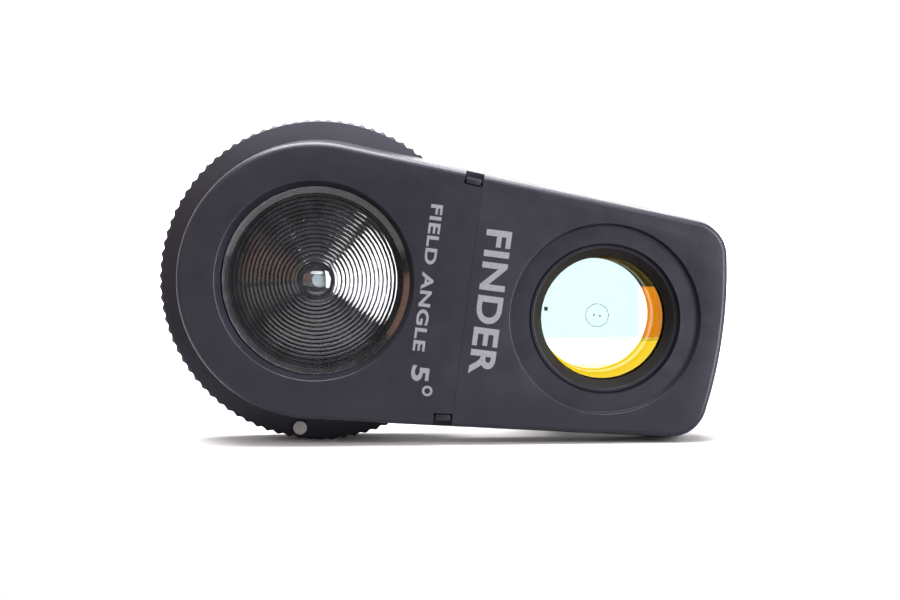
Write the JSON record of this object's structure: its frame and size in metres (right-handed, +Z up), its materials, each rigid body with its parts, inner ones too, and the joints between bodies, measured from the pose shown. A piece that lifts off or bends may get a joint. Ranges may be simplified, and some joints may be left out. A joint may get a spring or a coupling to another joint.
{
  "type": "spot viewfinder attachment",
  "caption": "Teardrop viewfinder attachment for a light meter, with a Fresnel condenser, a see-through finder and a knurled bayonet lock ring.",
  "frame": {"origin": "centre of the bounding box at the ground, with the attachment standing on its long edge", "axes": "+X along the length, from the condenser end to the finder end; +Y from the front face to the eyepiece; +Z up"},
  "size_m": [0.0944, 0.025, 0.0538],
  "materials": {
    "moulded_body": "fine satin moulded ABS",
    "moulded_grip": "satin moulded ABS, knurled",
    "inner_black": "matt black",
    "clear_acrylic": "polished clear acrylic",
    "clear_glass": "polished glass",
    "half_mirror_glass": "polished glass with a yellow half-mirror coating",
    "opal_acrylic": "opal white acrylic",
    "aluminium": "turned and anodised",
    "steel": "zinc plated",
    "rubber": "soft matt rubber",
    "dot_paint": "light grey paint filled dot"
  },
  "bodies": {
    "body": {"front_cover": "moulded_body", "rear_cover": "moulded_body", "condenser_lens": "clear_acrylic", "lens_retainer": "inner_black", "light_funnel": "inner_black", "field_stop": "inner_black", "cell_window": "opal_acrylic", "light_divider": "inner_black", "ring_retainer": "aluminium", "detent_ball": "steel", "detent_spring": "steel", "finder_bezel": "moulded_body", "mirror_window": "half_mirror_glass", "finder_tube": "inner_black", "reticle_disc": "clear_glass", "reticle_spacer": "inner_black", "eyepiece_housing": "moulded_body", "eyepiece_lens": "clear_glass", "eyepiece_ring": "inner_black", "eyecup": "rubber", "cover_screw_1": "steel", "cover_screw_2": "steel", "cover_screw_3": "steel", "cover_screw_4": "steel", "retainer_screw_1": "steel", "retainer_screw_2": "steel", "retainer_screw_3": "steel"},
    "twist_ring": {"lock_ring": "moulded_grip", "bayonet_ring": "aluminium", "index_dot": "dot_paint", "stop_pin": "steel", "bayonet_screw_1": "steel", "bayonet_screw_2": "steel", "bayonet_screw_3": "steel"}
  },
  "joints": [
    {"name": "ring_twist", "type": "hinge", "parent": "body", "child": "twist_ring", "pos_m": [-0.02029, 0.0015, 0.0269], "axis": [0, 1, 0], "range_deg": [0, 50]}
  ]
}
